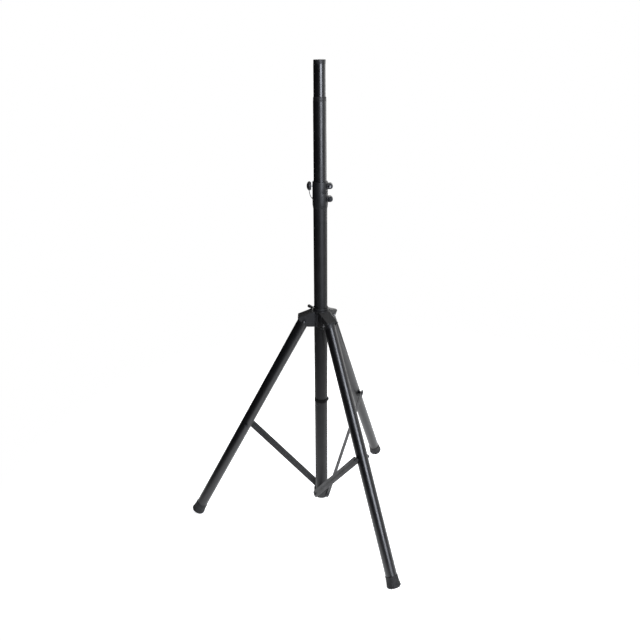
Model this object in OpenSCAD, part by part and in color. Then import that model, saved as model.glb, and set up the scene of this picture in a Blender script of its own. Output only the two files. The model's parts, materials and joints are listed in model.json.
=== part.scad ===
// Tripod stand for a loudspeaker. A pole slides in the main tube and locks at a collar.
// Three legs hinge on a hub that slides on the main tube, and three flat struts tie the
// legs to a bracket at the foot of the tube. Z = 0 is the floor, the tube is on the Z axis,
// and leg 1 points along -X.

/* [Tubes] */
// Outer diameter of the main tube
main_tube_d = 41.3; // [41:0.1:42]
// Wall of the main tube
main_tube_wall = 1.25; // [1.1:0.05:1.3]
// Outer diameter of the sliding pole
pole_d = 38; // [37.6:0.1:38]
// Wall of the sliding pole
pole_wall = 2; // [1.8:0.05:2]
// Outer diameter of the spigot that enters the loudspeaker
spigot_d = 35; // [34.4:0.1:35]
// Wall of the spigot
spigot_wall = 1.5; // [1.2:0.1:1.5]
// Outer diameter of a leg tube
leg_tube_d = 36; // [35:0.1:36.2]
// Wall of a leg tube
leg_tube_wall = 1.2; // [1:0.1:1.6]

/* [Heights above the floor] */
// Top of the cap on the spigot
stand_h = 1493; // [1480:1:1530]
// Bottom of the collar
collar_z = 1083; // [1070:1:1090]
// Bottom of the hub
hub_z = 712; // [705:1:720]
// Bottom of the stop band
stop_band_z = 441; // [430:1:445]
// Height of the struts' lower pivots
strut_pivot_z = 80.7; // [78:0.1:84]

/* [Pole] */
// Height of the cap on the spigot
cap_h = 10.5; // [8:0.5:12]
// Length of spigot that shows between the cap and the ferrule
spigot_l = 86.5; // [80:0.5:95]
// Height of the ferrule
ferrule_h = 11; // [8:0.5:14]
// Length of the sliding pole
pole_l = 713; // [700:1:718]
// Pitch of the locking holes in the pole
lock_pitch = 50; // [50:50:100]
// How far the pole can go down from this height
pole_down = 200; // [200:50:200]
// How far the pole can go up from this height
pole_up = 300; // [300:50:300]

/* [Collar] */
// Outer diameter of the collar
collar_d = 45.4; // [45:0.1:48]
// Height of the collar
collar_h = 78; // [76:1:82]
// Height of the locking pin above the collar's bottom
lock_pin_up = 65; // [64:0.5:66]
// Height of the lower clamp bolt above the collar's bottom
low_bolt_up = 27; // [25:0.5:28]
// Distance of the clamp bolts from the tube's axis
clamp_bolt_x = 29; // [29:0.5:31]
// Outer radius of a clamp lug
lug_r = 8; // [7:0.5:8.5]
// Height of the clamp knob above the collar's bottom
clamp_knob_up = 52; // [48:1:54]

/* [Hub and legs] */
// Outer diameter of the hub's sleeve
hub_d = 52; // [50:0.5:54]
// Height of the hub
hub_h = 50.5; // [50:0.5:54]
// Distance of the leg pivots from the tube's axis
leg_pivot_r = 51.4; // [51:0.1:52]
// Height of the leg pivots above the hub's bottom
leg_pivot_up = 17; // [16:0.5:18]
// Distance from the tube's axis at which an open leg's axis meets the floor
foot_circle_r = 439.2; // [430:0.1:450]
// Outside width of a leg hood
hood_w = 39.8; // [39.6:0.1:41]
// Thickness of the hood's sheet
hood_t = 1.5; // [1.2:0.1:1.5]
// Distance along a leg from its pivot to the strut's bolt
strut_joint_s = 420.1; // [400:0.1:430]
// Length of a foot along its leg
foot_l = 37; // [30:1:45]
// Diameter of a foot at its sole
foot_d = 44; // [42:0.5:48]

/* [Struts] */
// Width of a strut
strut_w = 24; // [20:0.5:25]
// Thickness of a strut
strut_t = 2; // [1.5:0.1:2]
// Distance of a strut's middle plane from the plane of its leg
strut_side = 25.2; // [25.2:0.1:26]

/* [Hidden] */

$fn = 96;
eps = 1;                                 // overrun of a cutter past the face it cuts
legs = 3;
leg_pitch = 360 / legs;
leg_1_az = 180;
small_fn = 40;

// Fits
slip = 0.1;                              // radial gap of a part that turns or slides
seat = 0.05;                             // radial gap of a part that is pushed home
side_gap = 0.2;                          // gap beside a turning strut

// Tubes
main_tube_r = main_tube_d / 2;
main_tube_ri = main_tube_r - main_tube_wall;
pole_r = pole_d / 2;
pole_ri = pole_r - pole_wall;
spigot_r = spigot_d / 2;
leg_r = leg_tube_d / 2;
leg_ri = leg_r - leg_tube_wall;

// Fasteners: M6 for the pivots, M8 for the knobs and the bracket
m6_r = 3;
m6_hole_r = m6_r + slip;
m6_nut_r = 10 / 2 / cos(30);
m6_nut_h = 5;
bolt_end = 1;                            // length of a bolt past its nut
m8_r = 4;
m8_hole_r = m8_r + slip;
button_r = 4.8;
button_h = 3;

// Pole
ferrule_z = stand_h - cap_h - spigot_l - ferrule_h;
pole_z = ferrule_z - pole_l;
spigot_in = 60;
cap_plug_l = 18;
spigot_neck_r = pole_ri - seat;
pole_foot_h = 12;
pole_foot_plug_l = 20;
spigot_hole_r = 3;
spigot_hole_up = 40;                     // above the ferrule
lock_pin_r = 3;
lock_hole_r = lock_pin_r + 0.25;
lock_z = collar_z + lock_pin_up;

// Collar
collar_r = collar_d / 2;
collar_top_z = collar_z + collar_h;
collar_lip_h = 8;
collar_chamfer_h = 11;
collar_chamfer = 1.6;
lug_w = 20;
clamp_slit = 2;
band_slit = 2.4;
band_slit_deg = 150;
low_bolt_z = collar_z + low_bolt_up;
band_slit_z = (lock_z + low_bolt_z) / 2;
clamp_head_r = 6;
clamp_head_h = 3.4;
clamp_knob_z = collar_z + clamp_knob_up;
clamp_boss_r = 9;
clamp_boss_end = 32;
pad_r = 4.5;
pad_t = 2.6;
clamp_pad_at = pole_r + 0.15;
tube_seat_z = collar_top_z - collar_lip_h;

// Lock pin and its lanyard
pin_tip_r = pole_r + 0.3;
pin_head_at = 26.2;
pin_head_r = 13.5;
pin_head_rim = 4;
pin_head_dome = 9;
pin_dome_r = (pow(pin_head_r, 2) + pow(pin_head_dome, 2)) / (2 * pin_head_dome);
cord_r = 1.1;
anchor_z = collar_z + 29;
anchor_r = 3;

// Stop band
band_t = 0.8;
stop_band_h = 13;
stop_screw_z = stop_band_z + stop_band_h / 2;
stop_screw_r = 2.5;
stop_screw_head_r = 5.5;
stop_screw_head_h = 3.8;
stop_screw_in = 12;
stop_rivet_z = stop_band_z - 9;
stop_rivet_az = 230;
stop_rivet_r = 2.2;
stop_rivet_head_r = 3.4;

// T knobs
knob_bar_r = 6;
knob_bar_l = 50;
knob_stem_r = 8;
knob_gap = 1.5;
knob_stem_l = 9;
knob_grip = 10;

// Hub
hub_r = hub_d / 2;
hub_liner_r = 22.2;
hub_liner_ri = main_tube_r + 0.08;
liner_flange_r = 23.6;
liner_flange_h = 8;
leg_pivot_z = hub_z + leg_pivot_up;
hood_root_r = 19;
hood_cheek_r = 44;
hood_mouth_r = 71.4;
hood_mouth_up = 26;
hood_roof_out_up = 31;
hood_roof_in_up = 49.5;
hood_bend = 6;                           // outer radius of the bends along the roof
bend_steps = 6;
hood_doubler_r = 39;
hood_doubler = 0.8;
roof_slope = atan((hood_roof_in_up - hood_roof_out_up) / (hood_mouth_r - hub_r));
roof_drop = hood_t / cos(roof_slope);
hub_knob_az = leg_1_az - leg_pitch / 2;
hub_knob_up = 39;
hub_knob_tilt = -56;
hub_boss_r = 9;
hub_boss_end = 33;
hub_pad_at = main_tube_r + 0.2;

// Legs
leg_tilt = atan((foot_circle_r - leg_pivot_r) / leg_pivot_z);
leg_axis_l = sqrt(pow(foot_circle_r - leg_pivot_r, 2) + pow(leg_pivot_z, 2));
sole_back = 7.6;                         // the sole stops short of the floor point
sole_s = leg_axis_l - sole_back;
sole_round = 5;
foot_top_r = 19.2;
foot_floor = 5;
tube_end_s = sole_s - foot_floor - sole_round;
head_s = 12;
head_plug_l = 34;
head_trim = 5;                           // clears the bends in the hood's roof

// Struts
strut_top_r = leg_pivot_r + strut_joint_s * sin(leg_tilt);
strut_top_z = leg_pivot_z - strut_joint_s * cos(leg_tilt);
strut_l = sqrt(pow(strut_top_r, 2) + pow(strut_top_z - strut_pivot_z, 2));
strut_slope = atan((strut_top_z - strut_pivot_z) / strut_top_r);
strut_in = strut_side - strut_t / 2;
strut_out = strut_side + strut_t / 2;
open_gap = 0.3;                          // gap at the pivot between a strut and its leg
spacer_r = 6;

// Lower bracket
bracket_flat = 23;
bracket_h = 36;
bracket_pivot_up = 16.7;                 // height of the strut pivots above the bracket's bottom
bracket_z = strut_pivot_z - bracket_pivot_up;
bracket_top_z = bracket_z + bracket_h;
bracket_r = 31;
socket_l = 14;
tube_z = bracket_top_z - socket_l;
washer_t = 1;
washer_r = 8;
pivot_bolt_in = 9;
plug_l = 30;
bracket_screw_head_r = 6.5;
bracket_screw_head_h = 3;
bracket_recess = 3;                      // depth of the head's recess

// Frames of the legs and struts

module at_leg(k) {
    rotate([0, 0, leg_1_az + (k - 1) * leg_pitch]) children();
}

// +Z runs down the axis of leg k from its pivot, +Y runs along the pivot
module along_leg(k) {
    at_leg(k) translate([leg_pivot_r, 0, leg_pivot_z]) rotate([0, 180 - leg_tilt, 0]) children();
}

// +X runs up strut k from its lower pivot, +Y is the strut's thickness
module along_strut(k) {
    at_leg(k) translate([0, -strut_side, strut_pivot_z]) rotate([0, -strut_slope, 0]) children();
}

// +Z points away from the tube's axis at azimuth az and height z
module outward(az, z) {
    rotate([0, 0, az]) translate([0, 0, z]) rotate([0, 90, 0]) children();
}

// Shared shapes

module ring(r_out, r_in, h) {
    difference() {
        cylinder(r = r_out, h = h);
        translate([0, 0, -eps]) cylinder(r = r_in, h = h + 2 * eps);
    }
}

// A rod along Y between two offsets
module rod_y(y0, y1, r, fn = small_fn) {
    translate([0, y1, 0]) rotate([90, 0, 0]) cylinder(r = r, h = y1 - y0, $fn = fn);
}

// A low domed screw head that sits on Z = 0
module button_head(r, h) {
    dome_r = (r * r + h * h) / (2 * h);
    intersection() {
        translate([0, 0, h - dome_r]) sphere(r = dome_r);
        cylinder(r = r + eps, h = h, $fn = small_fn);
    }
}

// A T handle: the stem starts at Z = at, the bar lies across X
module t_knob(at) {
    difference() {
        union() {
            translate([0, 0, at]) cylinder(r1 = knob_stem_r, r2 = knob_bar_r, h = knob_stem_l);
            translate([0, 0, at + knob_stem_l]) rotate([0, 90, 0])
                cylinder(r = knob_bar_r, h = knob_bar_l - 2 * knob_bar_r, center = true);
            for (side = [-1, 1])
                translate([side * (knob_bar_l / 2 - knob_bar_r), 0, at + knob_stem_l])
                    sphere(r = knob_bar_r);
        }
        translate([0, 0, at - eps]) cylinder(r = m8_r, h = knob_grip + eps, $fn = small_fn);
    }
}

// Pieces of the main tube

module main_tube() {
    color("#1b1b1d") difference() {
        translate([0, 0, tube_z]) ring(main_tube_r, main_tube_ri, tube_seat_z - tube_z);
        outward(leg_1_az, lock_z) cylinder(r = lock_hole_r, h = collar_r, $fn = small_fn);
        outward(90, clamp_knob_z) cylinder(r = pad_r + slip, h = collar_r, $fn = small_fn);
        outward(0, stop_screw_z) cylinder(r = stop_screw_r + seat, h = collar_r, $fn = small_fn);
        outward(stop_rivet_az, stop_rivet_z)
            cylinder(r = stop_rivet_r + seat, h = collar_r, $fn = small_fn);
    }
}

module tube_plug() {
    color("#2a2a2c") translate([0, 0, tube_z]) ring(main_tube_ri - seat, m8_r, plug_l);
}

module collar() {
    color("#232325") difference() {
        union() {
            translate([0, 0, collar_z])
                cylinder(r1 = collar_r - collar_chamfer, r2 = collar_r, h = collar_chamfer_h);
            translate([0, 0, collar_z + collar_chamfer_h])
                cylinder(r = collar_r, h = collar_h - collar_chamfer_h);
            for (z = [low_bolt_z, lock_z]) translate([0, 0, z]) clamp_lug();
            outward(90, clamp_knob_z) cylinder(r = clamp_boss_r, h = clamp_boss_end);
        }
        translate([0, 0, collar_z - eps])
            cylinder(r = main_tube_r + seat, h = tube_seat_z - collar_z + eps);
        cylinder(r = pole_r + slip, h = stand_h);
        translate([0, -clamp_slit / 2, collar_z - eps])
            cube([clamp_bolt_x + 2 * lug_r, clamp_slit, collar_h + 2 * eps]);
        translate([0, 0, band_slit_z - band_slit / 2]) rotate([0, 0, -band_slit_deg / 2])
            rotate_extrude(angle = band_slit_deg)
                square([clamp_bolt_x + 2 * lug_r, band_slit]);
        for (z = [low_bolt_z, lock_z]) translate([clamp_bolt_x, 0, z])
            rod_y(-lug_w, lug_w, m6_hole_r);
        outward(leg_1_az, lock_z) cylinder(r = lock_pin_r + slip, h = 2 * collar_r);
        outward(leg_1_az, anchor_z) cylinder(r = anchor_r / 2 + seat, h = 2 * collar_r);
        outward(90, clamp_knob_z) {
            cylinder(r = m8_hole_r, h = clamp_boss_end + eps, $fn = small_fn);
            cylinder(r = pad_r + slip, h = clamp_pad_at + pad_t + slip, $fn = small_fn);
        }
    }
}

// A round ear on the +X side, with its bolt along Y, and the web that joins it to the collar
module clamp_lug() {
    translate([clamp_bolt_x, 0, 0]) rod_y(-lug_w / 2, lug_w / 2, lug_r, $fn);
    translate([0, -lug_w / 2, -lug_r]) cube([clamp_bolt_x, lug_w, 2 * lug_r]);
}

// Its head is on the +Y side, and its end stands out of the nut on the -Y side
module clamp_bolt(z) {
    translate([clamp_bolt_x, 0, z]) {
        rod_y(-(lug_w / 2 + m6_nut_h + bolt_end), lug_w / 2, m6_r);
        translate([0, lug_w / 2, 0]) rotate([-90, 0, 0]) button_head(clamp_head_r, clamp_head_h);
    }
}

module upper_clamp_bolt() {
    color("silver") clamp_bolt(lock_z);
}

module lower_clamp_bolt() {
    color("#1b1b1d") clamp_bolt(low_bolt_z);
}

module clamp_nuts() {
    color("#2a2a2c") for (z = [low_bolt_z, lock_z])
        translate([clamp_bolt_x, -lug_w / 2, z]) rotate([90, 0, 0]) hex_nut();
}

// An M6 nut that sits on Z = 0
module hex_nut() {
    difference() {
        cylinder(r = m6_nut_r, h = m6_nut_h, $fn = 6);
        translate([0, 0, -eps]) cylinder(r = m6_r, h = m6_nut_h + 2 * eps, $fn = small_fn);
    }
}

module clamp_pad() {
    color("#d8d8d2") outward(90, clamp_knob_z) translate([0, 0, clamp_pad_at])
        cylinder(r = pad_r, h = pad_t, $fn = small_fn);
}

module lanyard_anchor() {
    color("#1b1b1d") outward(leg_1_az, anchor_z) {
        translate([0, 0, main_tube_r + slip])
            cylinder(r = anchor_r / 2, h = collar_r - main_tube_r, $fn = small_fn);
        translate([0, 0, collar_r]) button_head(anchor_r, anchor_r / 2);
    }
}

// The cord hangs from the pin's head to its anchor on the collar
module pin_lanyard() {
    low = [-(collar_r + anchor_r / 2 + 1.6 * cord_r), anchor_z];
    high = [-(pin_head_at + pin_head_rim), lock_z - pin_head_r - 1.5 * cord_r];
    run = high - low;
    color("#161616") translate([low[0], 0, low[1]]) rotate([0, atan2(run[0], run[1]), 0]) {
        cylinder(r = cord_r, h = norm(run), $fn = small_fn);
        sphere(r = cord_r, $fn = small_fn);
        translate([0, 0, norm(run)]) sphere(r = cord_r, $fn = small_fn);
    }
}

module stop_band() {
    color("#1e1e20") difference() {
        translate([0, 0, stop_band_z]) ring(main_tube_r + band_t, main_tube_r, stop_band_h);
        outward(0, stop_screw_z) cylinder(r = stop_screw_r + seat, h = collar_r, $fn = small_fn);
    }
}

module stop_screw() {
    color("#3a3a3c") outward(0, stop_screw_z) {
        translate([0, 0, stop_screw_in])
            cylinder(r = stop_screw_r, h = main_tube_r + band_t - stop_screw_in, $fn = small_fn);
        translate([0, 0, main_tube_r + band_t])
            button_head(stop_screw_head_r, stop_screw_head_h);
    }
}

module stop_rivet() {
    color("#3a3a3c") outward(stop_rivet_az, stop_rivet_z) {
        translate([0, 0, main_tube_ri])
            cylinder(r = stop_rivet_r, h = main_tube_wall, $fn = small_fn);
        translate([0, 0, main_tube_r]) button_head(stop_rivet_head_r, 1);
    }
}

// A block with a flat for each strut, and a socket for the tube in its top
module lower_bracket() {
    color("#1b1b1d") difference() {
        translate([0, 0, bracket_z]) intersection() {
            rotate([0, 0, leg_1_az - 90 - 180])
                cylinder(r = 2 * bracket_flat, h = bracket_h, $fn = 3);
            cylinder(r = bracket_r, h = bracket_h);
        }
        translate([0, 0, tube_z]) cylinder(r = main_tube_r + seat, h = socket_l + eps);
        translate([0, 0, bracket_z - eps]) {
            cylinder(r = m8_hole_r, h = bracket_h);
            cylinder(r = bracket_screw_head_r + slip, h = eps + bracket_recess);
        }
        for (k = [1:legs]) at_leg(k) translate([0, 0, strut_pivot_z])
            rod_y(-2 * bracket_flat, -pivot_bolt_in, m6_r);
    }
}

module bracket_screw() {
    color("silver") translate([0, 0, bracket_z + bracket_recess]) {
        cylinder(r = m8_r, h = bracket_h, $fn = small_fn);
        translate([0, 0, -bracket_screw_head_h])
            cylinder(r = bracket_screw_head_r, h = bracket_screw_head_h, $fn = 6);
    }
}

module strut_pivot_bolts() {
    color("#2a2a2c") for (k = [1:legs]) at_leg(k) translate([0, 0, strut_pivot_z]) {
        rod_y(-(strut_out + side_gap), -pivot_bolt_in, m6_r);
        translate([0, -(strut_out + side_gap), 0]) rotate([90, 0, 0])
            button_head(button_r, button_h);
    }
}

module strut_pivot_washers() {
    color("#2a2a2c") for (k = [1:legs])
        at_leg(k) translate([0, -bracket_flat, strut_pivot_z]) rotate([90, 0, 0])
            ring(washer_r, m6_r, washer_t);
}

// Pieces of the sliding pole

module sliding_pole() {
    color("#202022") difference() {
        translate([0, 0, pole_z]) ring(pole_r, pole_ri, pole_l);
        for (up = [-pole_up:lock_pitch:pole_down])
            outward(leg_1_az, lock_z + up)
                cylinder(r = lock_hole_r, h = collar_r, $fn = small_fn);
    }
}

module pole_foot() {
    color("#2a2a2c") translate([0, 0, pole_z]) {
        translate([0, 0, -pole_foot_h]) cylinder(r = main_tube_ri - slip, h = pole_foot_h);
        cylinder(r = pole_ri - seat, h = pole_foot_plug_l);
    }
}

module ferrule() {
    top_r = spigot_r + 0.5;
    low_r = pole_r - 0.3;
    slope_h = 2.5;
    color("#141415") translate([0, 0, ferrule_z]) difference() {
        union() {
            cylinder(r = low_r, h = ferrule_h - slope_h);
            translate([0, 0, ferrule_h - slope_h]) cylinder(r1 = low_r, r2 = top_r, h = slope_h);
        }
        translate([0, 0, -eps]) cylinder(r = spigot_neck_r + seat, h = ferrule_h + 2 * eps);
    }
}

// A tube whose narrower neck passes the ferrule and enters the pole
module spigot() {
    neck_l = spigot_in + ferrule_h;
    bore_r = spigot_r - spigot_wall;
    color("#1b1b1d") difference() {
        translate([0, 0, ferrule_z - spigot_in]) {
            ring(spigot_neck_r, bore_r, neck_l + eps);
            translate([0, 0, neck_l]) ring(spigot_r, bore_r, spigot_l);
        }
        translate([0, 0, ferrule_z + ferrule_h + spigot_hole_up]) rotate([0, 90, 0])
            cylinder(r = spigot_hole_r, h = 2 * spigot_d, center = true, $fn = small_fn);
    }
}

module top_cap() {
    cap_r = spigot_r - 0.2;
    bevel = 1.5;
    color("#232325") translate([0, 0, stand_h - cap_h]) {
        translate([0, 0, -cap_plug_l])
            cylinder(r = spigot_r - spigot_wall - seat, h = cap_plug_l);
        cylinder(r = cap_r, h = cap_h - bevel);
        translate([0, 0, cap_h - bevel]) cylinder(r1 = cap_r, r2 = cap_r - bevel, h = bevel);
    }
}

// The clamp knob and the locking pin

module clamp_knob() {
    color("#232325") outward(90, clamp_knob_z) t_knob(clamp_boss_end + knob_gap);
}

module clamp_screw() {
    tip = clamp_pad_at + pad_t + slip;
    color("silver") outward(90, clamp_knob_z) translate([0, 0, tip])
        cylinder(r = m8_r, h = clamp_boss_end + knob_gap + knob_grip - tip, $fn = small_fn);
}

module lock_pin() {
    color("silver") outward(leg_1_az, lock_z) translate([0, 0, pin_tip_r])
        cylinder(r = lock_pin_r, h = pin_head_at + pin_head_rim - pin_tip_r, $fn = small_fn);
}

module lock_pin_head() {
    color("#1b1b1d") outward(leg_1_az, lock_z) translate([0, 0, pin_head_at]) difference() {
        union() {
            cylinder(r = pin_head_r, h = pin_head_rim);
            intersection() {
                translate([0, 0, pin_head_rim + pin_head_dome - pin_dome_r])
                    sphere(r = pin_dome_r);
                translate([0, 0, pin_head_rim]) cylinder(r = pin_head_r, h = pin_head_dome);
            }
        }
        translate([0, 0, -eps]) cylinder(r = lock_pin_r, h = pin_head_rim + eps, $fn = small_fn);
    }
}

// Pieces of the hub

module hub() {
    color("#1e1e20") difference() {
        union() {
            translate([0, 0, hub_z]) cylinder(r = hub_r, h = hub_h);
            for (k = [1:legs]) at_leg(k) translate([0, 0, hub_z]) hood();
            outward(hub_knob_az, hub_z + hub_knob_up) cylinder(r = hub_boss_r, h = hub_boss_end);
        }
        translate([0, 0, hub_z - eps]) cylinder(r = hub_liner_r + seat, h = hub_h + 2 * eps);
        for (k = [1:legs]) at_leg(k) translate([leg_pivot_r, 0, leg_pivot_z])
            rod_y(-hood_w, hood_w, m6_hole_r);
        outward(hub_knob_az, hub_z + hub_knob_up) {
            cylinder(r = m8_hole_r, h = hub_boss_end + eps, $fn = small_fn);
            cylinder(r = pad_r + slip, h = hub_pad_at + pad_t + slip, $fn = small_fn);
        }
    }
}

// An inverted channel over the head of a leg, open below, with a lip across its mouth
module hood() {
    outline = [
        [hood_root_r, 0], [hood_cheek_r, 0], [hood_mouth_r, hood_mouth_up],
        [hood_mouth_r, hood_roof_in_up], [hood_root_r, hood_roof_in_up]];
    inside = [
        [0, -eps], [hood_mouth_r + eps, -eps], [hood_mouth_r + eps, hood_mouth_up],
        [hood_mouth_r - hood_t, hood_mouth_up],
        [hood_mouth_r - hood_t, hood_roof_in_up - roof_drop],
        [0, hood_roof_in_up - roof_drop]];
    difference() {
        union() {
            roofed_plate(hood_w, hood_bend, 0) polygon(outline);
            roofed_plate(hood_w + 2 * hood_doubler, hood_bend, 0) intersection() {
                polygon(outline);
                square([hood_doubler_r, hood_roof_in_up]);
            }
        }
        roofed_plate(hood_w - 2 * hood_t, hood_bend - hood_t, hood_t) polygon(inside);
    }
}

// An upright plate cut off by the roof's slope, drop below it, with bends of radius r
module roofed_plate(w, r, drop) {
    intersection() {
        upright_plate(w) children();
        translate([hub_r, 0, hood_roof_in_up]) rotate([0, roof_slope, 0])
            translate([-hood_mouth_r, 0, -drop]) rotate([90, 0, 90])
                linear_extrude(3 * hood_mouth_r) polygon(roof_section(w, r));
    }
}

// A deep rectangle w wide whose top is at Y = 0, with its top corners rounded to radius r
function roof_section(w, r) = concat(
    [[-w / 2, -2 * hub_h], [w / 2, -2 * hub_h]],
    [for (i = [0:bend_steps]) let (t = 90 * i / bend_steps)
        [w / 2 - r + r * cos(t), r * sin(t) - r]],
    [for (i = [0:bend_steps]) let (t = 90 + 90 * i / bend_steps)
        [r - w / 2 + r * cos(t), r * sin(t) - r]]);

// Stands a flat shape up in the XZ plane, w thick about Y = 0
module upright_plate(w) {
    rotate([90, 0, 0]) linear_extrude(w, center = true) children();
}

module hub_liner() {
    color("#2a2a2c") difference() {
        translate([0, 0, hub_z]) {
            ring(hub_liner_r, hub_liner_ri, hub_h + liner_flange_h);
            translate([0, 0, hub_h]) ring(liner_flange_r, hub_liner_ri, liner_flange_h);
        }
        outward(hub_knob_az, hub_z + hub_knob_up)
            cylinder(r = pad_r + slip, h = hub_r, $fn = small_fn);
    }
}

module hub_pad() {
    color("#d8d8d2") outward(hub_knob_az, hub_z + hub_knob_up) translate([0, 0, hub_pad_at])
        cylinder(r = pad_r, h = pad_t, $fn = small_fn);
}

module leg_pivot_bolts() {
    color("silver") for (k = [1:legs]) at_leg(k) translate([leg_pivot_r, 0, leg_pivot_z]) {
        rod_y(-hood_w / 2, hood_w / 2 + m6_nut_h + bolt_end, m6_r);
        translate([0, -hood_w / 2, 0]) rotate([90, 0, 0]) button_head(button_r, button_h);
    }
}

module leg_pivot_nuts() {
    color("silver") for (k = [1:legs])
        at_leg(k) translate([leg_pivot_r, hood_w / 2, leg_pivot_z]) rotate([-90, 0, 0]) hex_nut();
}

module hub_knob() {
    color("#232325") outward(hub_knob_az, hub_z + hub_knob_up)
        rotate([0, 0, hub_knob_tilt]) t_knob(hub_boss_end + knob_gap);
}

module hub_knob_screw() {
    tip = hub_pad_at + pad_t + slip;
    color("silver") outward(hub_knob_az, hub_z + hub_knob_up) translate([0, 0, tip])
        cylinder(r = m8_r, h = hub_boss_end + knob_gap + knob_grip - tip, $fn = small_fn);
}

// Pieces of a leg

module leg_tube(k) {
    color("#1b1b1d") along_leg(k) difference() {
        translate([0, 0, head_s]) ring(leg_r, leg_ri, tube_end_s - head_s);
        translate([0, 0, strut_joint_s]) rod_y(-leg_tube_d, leg_tube_d, m6_r + seat);
    }
}

// A plug whose rounded end turns on the pivot bolt
module leg_head(k) {
    color("#2a2a2c") along_leg(k) difference() {
        union() {
            cylinder(r = leg_r, h = head_s);
            intersection() {
                rod_y(-leg_r, leg_r, leg_r, $fn);
                translate([0, 0, -leg_r])
                    cylinder(r1 = leg_r - head_trim, r2 = leg_r, h = leg_r + eps);
            }
            translate([0, 0, head_s]) cylinder(r = leg_ri - seat, h = head_plug_l);
        }
        rod_y(-leg_tube_d, leg_tube_d, m6_hole_r);
    }
}

// A rubber cap that widens to its sole and has a flat where it meets the floor
module leg_foot(k) {
    sole_r = foot_d / 2;
    color("#2a2a2c") intersection() {
        along_leg(k) difference() {
            translate([0, 0, sole_s - foot_l]) rotate_extrude() foot_outline(sole_r);
            cylinder(r = leg_r, h = tube_end_s);
        }
        at_leg(k) translate([0, -foot_circle_r, 0]) cube([2 * foot_circle_r,
            2 * foot_circle_r, 2 * foot_circle_r]);
    }
}

module foot_outline(sole_r) {
    polygon(concat(
        [[0, 0], [foot_top_r, 0]],
        [for (a = [0:15:90]) [sole_r - sole_round * (1 - cos(a)),
            foot_l - sole_round * (1 - sin(a))]],
        [[0, foot_l]]));
}

module leg_strut_bolt(k) {
    color("#2a2a2c") along_leg(k) translate([0, 0, strut_joint_s])
        rod_y(-(strut_in - open_gap), leg_r + m6_nut_h + bolt_end, m6_r);
}

module leg_strut_nut(k) {
    color("#2a2a2c") along_leg(k) translate([0, leg_r + slip, strut_joint_s])
        rotate([-90, 0, 0]) hex_nut();
}

// Its inner end is hollowed to sit on the round leg
module leg_spacer(k) {
    color("#1b1b1d") along_leg(k) difference() {
        translate([0, 0, strut_joint_s]) rod_y(-(strut_in - open_gap), -leg_r / 2, spacer_r);
        translate([0, 0, strut_joint_s]) rod_y(-strut_side, 0, m6_r);
        cylinder(r = leg_r, h = 2 * strut_joint_s);
    }
}

// Pieces of a strut

module strut(k) {
    color("#2f2f31") along_strut(k) upright_plate(strut_t) difference() {
        union() {
            translate([0, -strut_w / 2]) square([strut_l, strut_w]);
            for (x = [0, strut_l]) translate([x, 0]) circle(d = strut_w);
        }
        for (x = [0, strut_l]) translate([x, 0]) circle(r = m6_hole_r, $fn = small_fn);
    }
}

module strut_bolt_head(k) {
    color("#2a2a2c") along_strut(k) translate([strut_l, 0, 0]) {
        rod_y(-strut_t / 2, strut_t / 2 - slip, m6_r);
        translate([0, -strut_t / 2, 0]) rotate([90, 0, 0]) button_head(button_r, button_h);
    }
}

main_tube();
tube_plug();
collar();
upper_clamp_bolt();
lower_clamp_bolt();
clamp_nuts();
clamp_pad();
lanyard_anchor();
pin_lanyard();
stop_band();
stop_screw();
stop_rivet();
lower_bracket();
bracket_screw();
strut_pivot_bolts();
strut_pivot_washers();
sliding_pole();
pole_foot();
ferrule();
spigot();
top_cap();
clamp_knob();
clamp_screw();
lock_pin();
lock_pin_head();
hub();
hub_liner();
hub_pad();
leg_pivot_bolts();
leg_pivot_nuts();
hub_knob();
hub_knob_screw();
leg_tube(1);  // leg_1_tube
leg_head(1);  // leg_1_head
leg_foot(1);  // leg_1_foot
leg_strut_bolt(1);  // leg_1_strut_bolt
leg_strut_nut(1);  // leg_1_strut_nut
leg_spacer(1);  // leg_1_spacer
leg_tube(2);  // leg_2_tube
leg_head(2);  // leg_2_head
leg_foot(2);  // leg_2_foot
leg_strut_bolt(2);  // leg_2_strut_bolt
leg_strut_nut(2);  // leg_2_strut_nut
leg_spacer(2);  // leg_2_spacer
leg_tube(3);  // leg_3_tube
leg_head(3);  // leg_3_head
leg_foot(3);  // leg_3_foot
leg_strut_bolt(3);  // leg_3_strut_bolt
leg_strut_nut(3);  // leg_3_strut_nut
leg_spacer(3);  // leg_3_spacer
strut(1);  // strut_1
strut_bolt_head(1);  // strut_1_bolt_head
strut(2);  // strut_2
strut_bolt_head(2);  // strut_2_bolt_head
strut(3);  // strut_3
strut_bolt_head(3);  // strut_3_bolt_head
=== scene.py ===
"""Looks for the tripod loudspeaker stand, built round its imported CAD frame. Lengths are in metres."""

import json
import math

import bmesh
import bpy
from mathutils import Matrix, Vector


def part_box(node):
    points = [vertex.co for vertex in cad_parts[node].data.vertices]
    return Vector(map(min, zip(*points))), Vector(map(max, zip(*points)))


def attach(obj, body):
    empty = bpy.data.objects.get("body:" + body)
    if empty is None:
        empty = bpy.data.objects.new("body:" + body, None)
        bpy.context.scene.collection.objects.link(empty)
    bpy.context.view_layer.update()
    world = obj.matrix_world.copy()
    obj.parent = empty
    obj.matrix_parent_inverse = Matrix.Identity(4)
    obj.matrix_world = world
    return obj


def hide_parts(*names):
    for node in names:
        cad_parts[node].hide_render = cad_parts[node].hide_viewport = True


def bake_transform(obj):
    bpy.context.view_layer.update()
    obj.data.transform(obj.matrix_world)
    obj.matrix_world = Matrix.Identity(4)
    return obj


MM = 0.001
LEGS = (1, 2, 3)

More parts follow.
